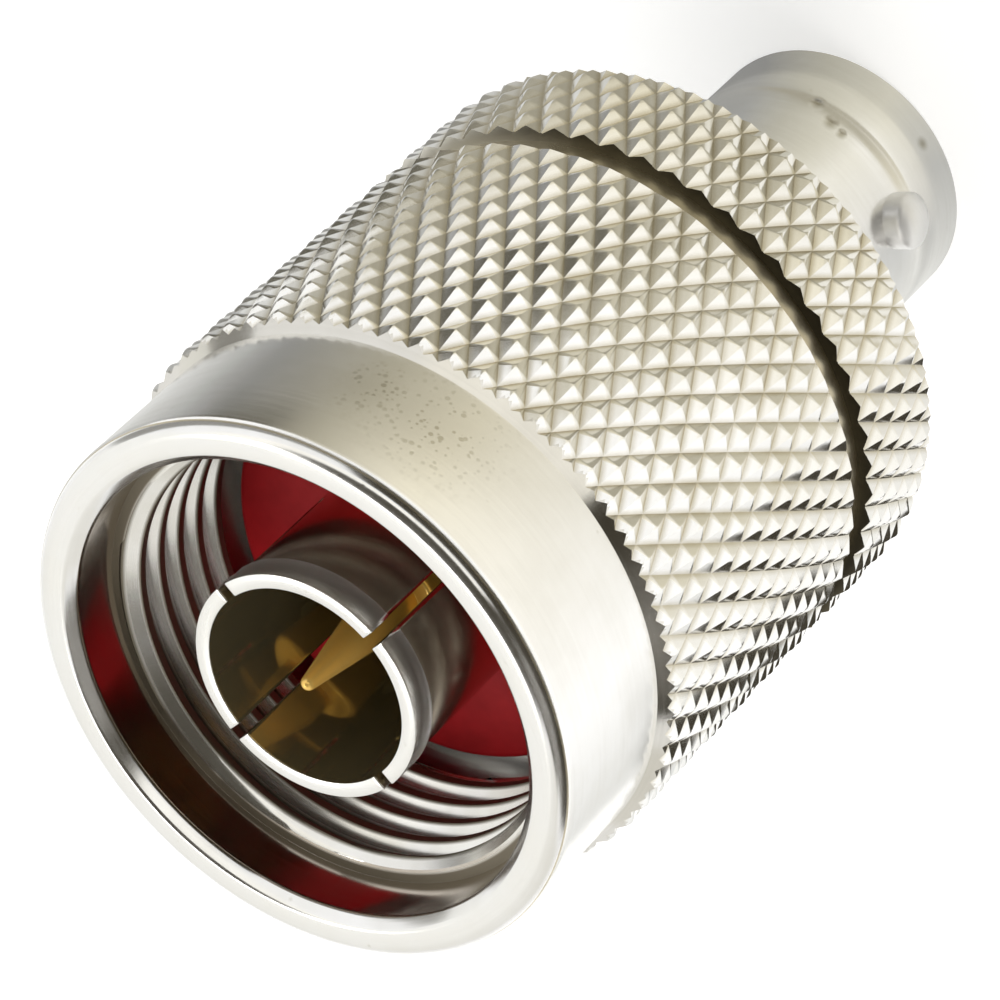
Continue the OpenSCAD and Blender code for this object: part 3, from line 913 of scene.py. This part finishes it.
# The body with its BNC barrel and bayonet lugs
def build_body():
    swing = math.degrees(math.acos(1 - (COLLAR_R - NECK_R) / COLLAR_FILLET))
    hollow_end = COLLAR_LENGTH + COLLAR_FILLET * math.sin(math.radians(swing))
    hollow_share = 0.9
    hollow_start = 180 + swing * hollow_share
    outline = [
        (BNC_BORE_R, 0, 0.2),
        (COLLAR_R, 0, 0.22),
        (COLLAR_R, COLLAR_LENGTH - COLLAR_TAPER_LENGTH),
        (COLLAR_R - COLLAR_TAPER, COLLAR_LENGTH),
    ]
    outline += hollow_arc(NECK_R + COLLAR_FILLET, hollow_end, COLLAR_FILLET, hollow_start, 180)
    outline += hollow_arc(NECK_R + NECK_FILLET, HUB_LOW - NECK_FILLET, NECK_FILLET, 180, 90)
    outline += [
        (HUB_R, HUB_LOW, 0.16),
        (HUB_R, RING_GROOVE_LOW, 0.03),
        (HUB_GROOVE_R, RING_GROOVE_LOW, 0.03),
        (HUB_GROOVE_R, RING_GROOVE_HIGH, 0.03),
        (HUB_R, RING_GROOVE_HIGH, 0.03),
        (HUB_R, HUB_TOP, 0.06),
        (SHANK_R + SEAT, HUB_TOP, 0.06),
        (SHANK_R + SEAT, FLANGE_TOP),
        (FLANGE_R + SEAT, FLANGE_TOP),
        (FLANGE_R + SEAT, FLANGE_LOW),
        (NOSE_R + SEAT, FLANGE_LOW),
        (NOSE_R + SEAT, BNC_DEPTH, 0.06),
        (BNC_BORE_R, BNC_DEPTH, 0.15),
    ]
    turned_piece("bnc_body", outline, FINE_TURN, nickel_turned, "adapter", "adapter_body")

    root = (BNC_BORE_R + NECK_R) / 2
    dome_start, dome_end = 48, 86
    stud = [(0, root), (LUG_R, root), (LUG_R, LUG_END - LUG_DOME / 3)]
    stud += hollow_arc(0, LUG_END - LUG_DOME, LUG_DOME, dome_start, dome_end, steps=8)
    stud += [(0, LUG_END)]
    shape = turned_shape(stud, LUG_TURN)
    bmesh.ops.transform(shape, matrix=Matrix.Rotation(math.pi / 2, 4, "Y"), verts=shape.verts)
    bmesh.ops.translate(shape, vec=Vector((0, 0, LUG_HEIGHT)) * MM, verts=shape.verts)
    lugs = to_mesh("bayonet_lugs", shape)
    repeat_piece(lugs, LUGS, 0.0, lug_metal)
    finish_piece(lugs, lug_metal, "adapter", "adapter_body")


def repeat_piece(piece, count, start, finish):
    run_tree(piece, repeat_around, {"Count": count, "Start": math.radians(start), "Material": finish})
    right_side_out(piece)


def join_sectors(piece, start, finish, width):
    """Repeats a slotted piece's sector, then breaks the sharp edges as the maker's tumbling does."""
    repeat_piece(piece, SLOTS, start, finish)
    bevel = piece.modifiers.new("broken_edges", "BEVEL")
    bevel.width = width * MM
    bevel.segments = 2
    bevel.limit_method = "ANGLE"
    bevel.angle_limit = BROKEN_ANGLE
    bevel.use_clamp_overlap = True
    settle(piece)


# The slotted N sleeve and its centre pin
def build_sleeve():
    floor = SLEEVE_TOP - SLEEVE_SLOT_LENGTH
    land_low = SLEEVE_TOP - SLEEVE_LAND
    sleeve = [
        (SHANK_R, BEAD_TOP), (SHANK_R, floor), (SHANK_R, land_low - SLEEVE_RELIEF),
        (TIP_R, land_low), (TIP_R, SLEEVE_TOP), (SLEEVE_BORE_R, SLEEVE_TOP),
        (SLEEVE_BORE_R, floor), (SLEEVE_BORE_R, BEAD_TOP),
    ]
    sector = slotted_sector(sleeve, floor, SLEEVE_SLOT_WIDTH, SLOTS, SLEEVE_COLUMNS)
    piece = to_mesh("slotted_sleeve", sector)
    join_sectors(piece, SLEEVE_SLOT_ANGLE + 180 / SLOTS, nickel_sleeve, SLEEVE_EDGE)
    finish_piece(piece, nickel_sleeve, "adapter", "contact_sleeve")
    shank_from, shank_to = SHANK_R - 0.1, SHANK_R + 0.02
    bore_high = SLEEVE_TOP - 0.04
    # Painted shade inside the sleeve's bore
    coat_faces(piece, sleeve_bore_painted_shade, lambda r, z: r < shank_from and z < bore_high)
    # Painted shade on the sleeve's shank
    coat_faces(piece, sleeve_shank_painted_shade, lambda r, z: shank_from <= r < shank_to and z < land_low)

    pin = [
        (0, SPIGOT_LOW),
        (SPIGOT_R, SPIGOT_LOW, 0.05),
        (SPIGOT_R, FLANGE_TOP),
        (CONDUCTOR_NECK_R, FLANGE_TOP),
        (CONDUCTOR_NECK_R, BEAD_TOP),
        (CONDUCTOR_R, BEAD_TOP, 0.05),
        (CONDUCTOR_R, PIN_SHOULDER, 0.2),
        (PIN_R, PIN_SHOULDER, 0.05),
        (PIN_R, SLEEVE_TOP - PIN_TAPER, 0.3),
    ]
    tip_start, tip_end = 15, 85
    pin += hollow_arc(0, SLEEVE_TOP - PIN_TIP_R, PIN_TIP_R, tip_start, tip_end, steps=6)
    pin += [(0, SLEEVE_TOP)]
    turned_piece("centre_contact", pin, SMALL_TURN, gold_plate, "adapter", "centre_pin")


# The BNC socket contact, the white insulators, the gasket and the snap ring
def build_inner_pieces():
    floor = SOCKET_LOW + SOCKET_SLOT_LENGTH
    socket = [
        (CONDUCTOR_R, -FLANGE_TOP), (CONDUCTOR_R, -SOCKET_COLLAR), (SOCKET_R, -SOCKET_COLLAR),
        (SOCKET_R, -floor), (SOCKET_R, -SOCKET_LOW), (SOCKET_BORE_R, -SOCKET_LOW),
        (SOCKET_BORE_R, -floor), (SOCKET_BORE_R, -SOCKET_BORE_END), (0, -SOCKET_BORE_END),
        (0, -SPIGOT_LOW), (SPIGOT_R + SEAT, -SPIGOT_LOW), (SPIGOT_R + SEAT, -FLANGE_TOP),
    ]
    sector = slotted_sector(socket, -floor, SOCKET_SLOT_WIDTH, SLOTS, SOCKET_COLUMNS)
    for v in sector.verts:
        v.co.z = -v.co.z
    piece = to_mesh("socket_tines", sector)
    join_sectors(piece, 180 / SLOTS, gold_plate, SOCKET_EDGE)
    finish_piece(piece, gold_plate, "adapter", "socket_contact")

    nose = [
        (SOCKET_R + SEAT, NOSE_LOW, 0.08),
        (NOSE_R, NOSE_LOW, 0.25),
        (NOSE_R, FLANGE_LOW),
        (FLANGE_R, FLANGE_LOW, 0.1),
        (FLANGE_R, FLANGE_TOP, 0.1),
        (CONDUCTOR_R + SEAT, FLANGE_TOP, 0.05),
        (CONDUCTOR_R + SEAT, SOCKET_COLLAR),
        (SOCKET_R + SEAT, SOCKET_COLLAR),
    ]
    turned_piece("bnc_insulator", nose, SMALL_TURN, white_ptfe, "adapter", "nose_insulator")

    bead = [
        (CONDUCTOR_NECK_R + SEAT, FLANGE_TOP, 0.05),
        (SHANK_R, FLANGE_TOP, 0.1),
        (SHANK_R, BEAD_TOP, 0.1),
        (CONDUCTOR_NECK_R + SEAT, BEAD_TOP, 0.05),
    ]
    turned_piece("conductor_bead", bead, SMALL_TURN, white_ptfe, "adapter", "upper_bead")

    gasket = [
        (SHANK_R + SEAT, HUB_TOP, 0.1),
        (GASKET_R, HUB_TOP, 0.1),
        (GASKET_R, GASKET_TOP, 0.25),
        (SHANK_R + SEAT, GASKET_TOP, 0.15),
    ]
    turned_piece("red_gasket", gasket, FINE_TURN, red_silicone,
                 "adapter", "face_gasket", steps=6)

    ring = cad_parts["snap_ring"]
    ring.data.materials.clear()
    ring.data.materials.append(spring_steel)


build_nut()
build_body()
build_sleeve()
build_inner_pieces()


# Camera at the photograph's viewing angle, rolled as it was held
VIEW_TURN = math.radians(35.4)
TOWARDS = Vector((math.cos(VIEW_TURN), math.sin(VIEW_TURN), 0))
ASIDE = Vector((-math.sin(VIEW_TURN), math.cos(VIEW_TURN), 0))
UPRIGHT = Vector((0, 0, 1))

# The camera's place in millimetres and its axes, each in parts along those three directions
CAMERA_PLACE = (132.9, -0.06, 146.95)
CAMERA_RIGHT = (0.4918, -0.6957, -0.5236)
CAMERA_UP = (0.4764, 0.7183, -0.5071)
CAMERA_BACK = (0.7289, 0, 0.6847)
LENS = 205.85
SENSOR_WIDTH = 36
CLIP_NEAR = 0.01
CLIP_FAR = 20


def directed(out, aside, up):
    """A vector from its parts towards the camera's side, to its left and upwards."""
    return TOWARDS * out + ASIDE * aside + UPRIGHT * up


def place_camera():
    data = bpy.data.cameras.new("photo_camera")
    data.lens = LENS
    data.sensor_width = SENSOR_WIDTH
    data.clip_start = CLIP_NEAR
    data.clip_end = CLIP_FAR
    camera = add_object("photo_camera", data)
    axes = [directed(*axis) for axis in (CAMERA_RIGHT, CAMERA_UP, CAMERA_BACK)]
    camera.rotation_mode = "QUATERNION"
    camera.rotation_quaternion = Matrix(axes).transposed().to_quaternion()
    camera.location = directed(*CAMERA_PLACE) * MM
    bpy.context.scene.camera = camera


place_camera()


# Studio: pale floor, white surroundings, toned cards that only reflections see, and soft lamps
FLOOR_COLOUR = (0.86, 0.86, 0.85, 1)
FLOOR_SIZE = 1.5
GLOW_NEAR = 0.42
GLOW_FAR = 0.68
GLOW_REACH = 120
GLOW_MIRRORED = 0.34
WORLD_FILL = 0.55
CARD_STEP = 4
LAMP_AIM = 17
LAMP_DISTANCE = 420


def shader_tree(name):
    """A material without nodes, and its bench."""
    material, bench = new_material(name)[:2]
    bench.tree.nodes.clear()
    return material, bench


def seen_directly(bench):
    """Masks of what the camera sees itself, and of what it sees in gloss or through glass."""
    path = bench.add("ShaderNodeLightPath").outputs
    mirrored = bench.math("MAXIMUM", path["Is Glossy Ray"], path["Is Transmission Ray"])
    return path["Is Camera Ray"], mirrored


def build_floor():
    material, bench = shader_tree("pale_floor")
    matt = bench.add("ShaderNodeBsdfDiffuse", {"Color": FLOOR_COLOUR})
    eye, mirrored = seen_directly(bench)
    far = bench.vector("LENGTH", bench.own_place())["Value"]
    seen_glow = bench.ramp(far, 0.0, GLOW_REACH * MM, GLOW_NEAR, GLOW_FAR)
    glow = bench.plus(bench.times(eye, seen_glow), bench.times(mirrored, GLOW_MIRRORED))
    lit = bench.add("ShaderNodeEmission", {"Color": (1, 1, 1, 1), "Strength": glow})
    both = bench.add("ShaderNodeAddShader", {0: matt.outputs[0], 1: lit.outputs[0]})
    below = bench.add("ShaderNodeNewGeometry").outputs["Backfacing"]
    clear = bench.add("ShaderNodeBsdfTransparent")
    shown = bench.add("ShaderNodeMixShader", {0: below, 1: both.outputs[0], 2: clear.outputs[0]})
    bench.add("ShaderNodeOutputMaterial", {"Surface": shown.outputs[0]})
    bm = bmesh.new()
    bmesh.ops.create_grid(bm, x_segments=8, y_segments=8, size=FLOOR_SIZE)
    floor = to_mesh("floor", bm)
    floor.data.materials.append(material)


def from_axis(turn_degrees, height_degrees, distance):
    """A place around the adapter. Turn zero is the camera's side and grows to the camera's right."""
    turn, height = math.radians(turn_degrees), math.radians(height_degrees)
    flat = TOWARDS * math.cos(turn) - ASIDE * math.sin(turn)
    return (flat * math.cos(height) + UPRIGHT * math.sin(height)) * distance


def card(name, first_edge, second_edge, stops):
    """A curved glowing card that only reflections see, like a studio flag, a soft box or a painted
    reflection of the floor.
    It runs around the adapter between two edges of (distance, height) and grades from stop to stop.
    A stop is (turn, colour, tone of the first edge, tone of the second), with the second edge's own
    colour last where it has one."""
    material, bench = shader_tree(name)
    tone = bench.add("ShaderNodeAttribute", attribute_name="tone").outputs["Color"]
    lit = bench.add("ShaderNodeEmission", {"Color": tone, "Strength": 1.0})
    bench.add("ShaderNodeOutputMaterial", {"Surface": lit.outputs[0]})
    bm = bmesh.new()
    layer = bm.verts.layers.float_color.new("tone")
    toned = []
    for turn, colour, first, second, *other in stops:
        second_colour = other[0] if other else colour
        toned.append((turn, (Vector(colour) * first, Vector(second_colour) * second)))
    rows = []
    for (turn, here), (next_turn, there) in zip(toned, toned[1:]):
        steps = max(1, int((next_turn - turn) / CARD_STEP))
        for k in range(1 if rows else 0, steps + 1):
            share = k / steps
            along = from_axis(turn + (next_turn - turn) * share, 0, 1)
            row = []
            for (distance, height), start, end in zip((first_edge, second_edge), here, there):
                vert = bm.verts.new((along * distance + UPRIGHT * height) * MM)
                vert[layer] = start.lerp(end, share).to_4d()
                row.append(vert)
            rows.append(row)
    for here, there in zip(rows, rows[1:]):
        bm.faces.new((here[0], there[0], there[1], here[1]))
    board = to_mesh(name, bm)
    board.data.materials.append(material)
    board.visible_camera = False
    board.visible_diffuse = False
    board.visible_transmission = False
    board.visible_shadow = False


CREAM = (1.0, 0.98, 0.92)
OLIVE = (1.0, 0.93, 0.72)
STRAW = (1.0, 0.965, 0.82)
GREY = (1.0, 1.0, 0.97)
WHITE = (1.0, 0.995, 0.98)
DARK = ((1.0, 0.86, 0.60), 0.05)
DUSK = (CREAM, 0.30)
SOFT = (CREAM, 1.1)

# Edges of the cards that lie at the floor, from the adapter outwards. Their tones are painted reflections
# of the floor, with the adapter's shadow painted darker around its foot and towards its left
COLLAR_EDGE = (4.6, 0.05)
NECK_EDGE = (6.1, 0.05)
BASE_EDGE = (13, 0.15)
NEAR_EDGE = (26, 0.3)
FAR_EDGE = (46, 0.3)
LEFT_EDGE = (76, 0.3)
LAST_EDGE = (100, 0.3)

# Cards of one tone: turns, both edges and shade
FLAGS = {
    "flag_front": ((-42, 104), (300, 2), (300, 310), DARK),
    "flag_right_high": ((26, 112), (300, 310), (150, 340), DARK),
    # flag_right_near is a painted reflection of shade, darkening the knurl's right side where its teeth
    # shade each other
    "flag_right_near": ((75, 103), (17, 2), (17, 19.5), DARK),
    "flag_above": ((-180, 180), (0.5, 340), (160, 340), DARK),
    "flag_left": ((-125, -44), (290, 0.5), (290, 150), DUSK),
    "box_front": ((-122, 26), (235, 292), (160, 335), SOFT),
}


def build_cards():
    for name, (turns, first_edge, second_edge, (colour, tone)) in FLAGS.items():
        card(name, first_edge, second_edge, [(turn, colour, tone, tone) for turn in turns])
    card("screen_back", (300, 60), (250, 420), [(112, CREAM, 0.8, 0.86), (238, GREY, 1.0, 1.0)])
    # Painted reflections of the floor, darker where the adapter's shadow would lie
    card("floor_reflection_near", NEAR_EDGE, FAR_EDGE, [
        (-178, GREY, 1.0, 1.0), (-130, GREY, 0.66, 0.64), (-98, GREY, 0.3, 0.28),
        (-58, OLIVE, 0.46, 0.42), (-22, OLIVE, 0.66, 0.74), (72, WHITE, 1.15, 1.15),
        (125, GREY, 0.8, 0.8),
    ])
    card("floor_reflection_far_back", FAR_EDGE, LAST_EDGE, [(-178, GREY, 1.0, 1.0), (-113, GREY, 0.44, 0.5)])
    card("floor_reflection_far_left", FAR_EDGE, LEFT_EDGE, [
        (-113, GREY, 0.44, 0.5), (-94, OLIVE, 0.12, 0.12), (-74, OLIVE, 0.14, 0.16),
        (-56, OLIVE, 0.48, 0.6),
    ])
    card("floor_reflection_far_front", FAR_EDGE, LAST_EDGE, [
        (-56, OLIVE, 0.48, 0.6), (-22, OLIVE, 0.92, 1.18, WHITE), (72, WHITE, 1.15, 1.25),
        (125, GREY, 0.8, 0.9),
    ])
    card("floor_reflection_base", BASE_EDGE, NEAR_EDGE, [
        (-178, GREY, 0.8, 0.95), (-105, GREY, 0.58, 0.78), (-72, OLIVE, 0.37, 0.45),
        (-40, OLIVE, 0.39, 0.34), (-8, OLIVE, 0.5, 0.36), (30, OLIVE, 0.66, 0.8),
        (56, CREAM, 0.86, 1.15), (110, GREY, 1.0, 1.1),
    ])
    card("floor_reflection_neck", NECK_EDGE, BASE_EDGE, [
        (-178, GREY, 0.6, 0.7), (-105, GREY, 0.36, 0.4), (-77, GREY, 0.38, 0.4),
        (-49, STRAW, 0.54, 0.5), (-21, STRAW, 0.7, 0.8), (0, STRAW, 0.82, 1.05, CREAM),
        (35, CREAM, 0.78, 1.0), (63, GREY, 0.58, 0.8), (110, GREY, 0.8, 1.0),
    ])
    card("floor_reflection_collar", COLLAR_EDGE, NECK_EDGE, [
        (-178, GREY, 0.6, 0.6), (-105, GREY, 0.3, 0.3), (-72, GREY, 0.28, 0.28),
        (-40, STRAW, 0.46, 0.46), (-8, STRAW, 0.65, 0.65), (30, GREY, 0.55, 0.55),
        (56, GREY, 0.66, 0.66), (110, GREY, 0.95, 0.95),
    ])


def lamp(name, turn, height, size, power, colour):
    """A round soft lamp that looks at the adapter's middle."""
    data = bpy.data.lights.new(name, "AREA")
    data.shape = "DISK"
    data.size = size * MM
    data.energy = power
    data.color = colour
    light = add_object(name, data)
    place = from_axis(turn, height, LAMP_DISTANCE)
    light.location = (place + UPRIGHT * LAMP_AIM) * MM
    light.rotation_mode = "QUATERNION"
    light.rotation_quaternion = place.normalized().to_track_quat("Z", "Y")


def build_world():
    world = bpy.data.worlds.new("white_studio")
    bpy.context.scene.world = world
    world.use_nodes = True
    world.node_tree.nodes.clear()
    bench = NodeBench(world.node_tree)
    eye, mirrored = seen_directly(bench)
    seen = bench.math("MAXIMUM", eye, mirrored)
    strength = bench.ramp(seen, 0.0, 1.0, WORLD_FILL, 1.0)
    sky = bench.add("ShaderNodeBackground", {"Color": (1, 1, 1, 1), "Strength": strength})
    bench.add("ShaderNodeOutputWorld", {"Surface": sky.outputs[0]})


build_floor()
build_cards()
lamp("key_lamp", turn=80, height=45, size=160, power=0.55, colour=(1.0, 0.98, 0.95))
lamp("fill_lamp", turn=-165, height=66, size=260, power=0.45, colour=(1.0, 0.99, 0.97))
build_world()

bpy.context.scene.view_settings.view_transform = "Standard"
